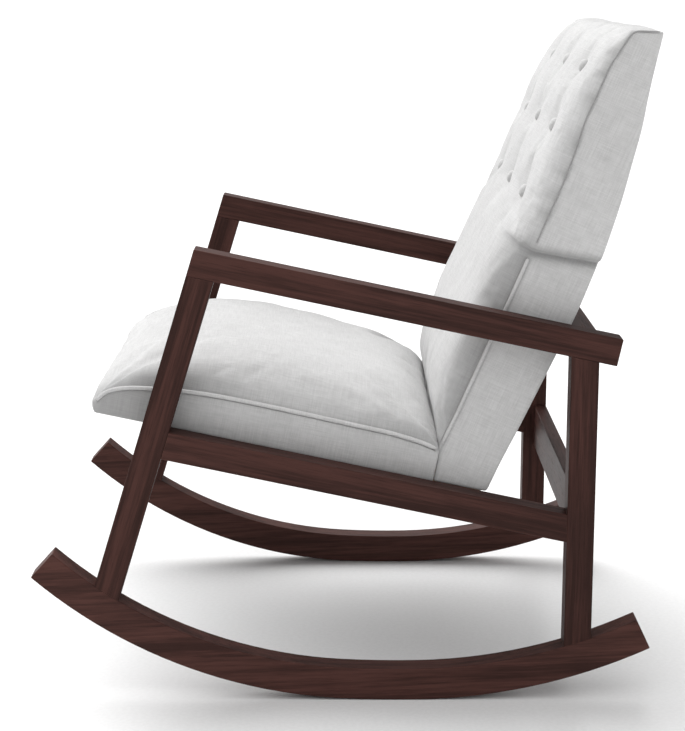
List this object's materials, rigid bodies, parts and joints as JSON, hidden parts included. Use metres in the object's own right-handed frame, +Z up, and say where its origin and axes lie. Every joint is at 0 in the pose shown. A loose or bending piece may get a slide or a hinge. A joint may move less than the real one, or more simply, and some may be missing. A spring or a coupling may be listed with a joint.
{
  "type": "rocking chair",
  "caption": "Wooden rocking chair with open side frames on curved rockers, a padded seat and a tall reclined button-tufted back.",
  "frame": {"origin": "on the floor plane, in the middle of the chair's width and of its rockers' length", "axes": "+Z up, the sitter faces -Y, and +X is the sitter's left"},
  "size_m": [0.65, 0.8639, 0.9283],
  "materials": {
    "walnut": "satin",
    "beech": "matte",
    "linen": "matte",
    "foam": "matte",
    "felt": "matte",
    "steel": "satin"
  },
  "bodies": {
    "root": {"arm_left": "walnut", "arm_right": "walnut", "front_leg_left": "walnut", "front_leg_right": "walnut", "rear_leg_left": "walnut", "rear_leg_right": "walnut", "seat_rail_left": "walnut", "seat_rail_right": "walnut", "rocker_left": "walnut", "rocker_right": "walnut", "upper_back_rail": "walnut", "rear_cross_board": "walnut", "front_seat_support": "walnut", "rear_seat_support": "walnut", "frame_dowels": "beech", "mounting_bolts": "steel", "bolt_washers": "steel", "threaded_inserts": "steel", "seat_frame_side_left": "beech", "seat_frame_side_right": "beech", "seat_frame_front": "beech", "seat_frame_rear": "beech", "seat_corner_blocks": "beech", "seat_springs": "steel", "seat_spring_clips": "steel", "seat_spring_felt": "felt", "dust_cover": "felt", "seat_cover": "linen", "seat_foam": "foam", "seat_welt_left": "linen", "seat_welt_right": "linen", "back_upright_left": "beech", "back_upright_right": "beech", "back_bottom_bar": "beech", "back_middle_bar": "beech", "back_top_bar": "beech", "back_brackets": "steel", "back_webbing": "felt", "back_cover": "linen", "back_foam": "foam", "back_welt_left": "linen", "back_welt_right": "linen", "back_buttons": "linen", "back_spacer_wedges": "beech"}
  },
  "joints": []
}
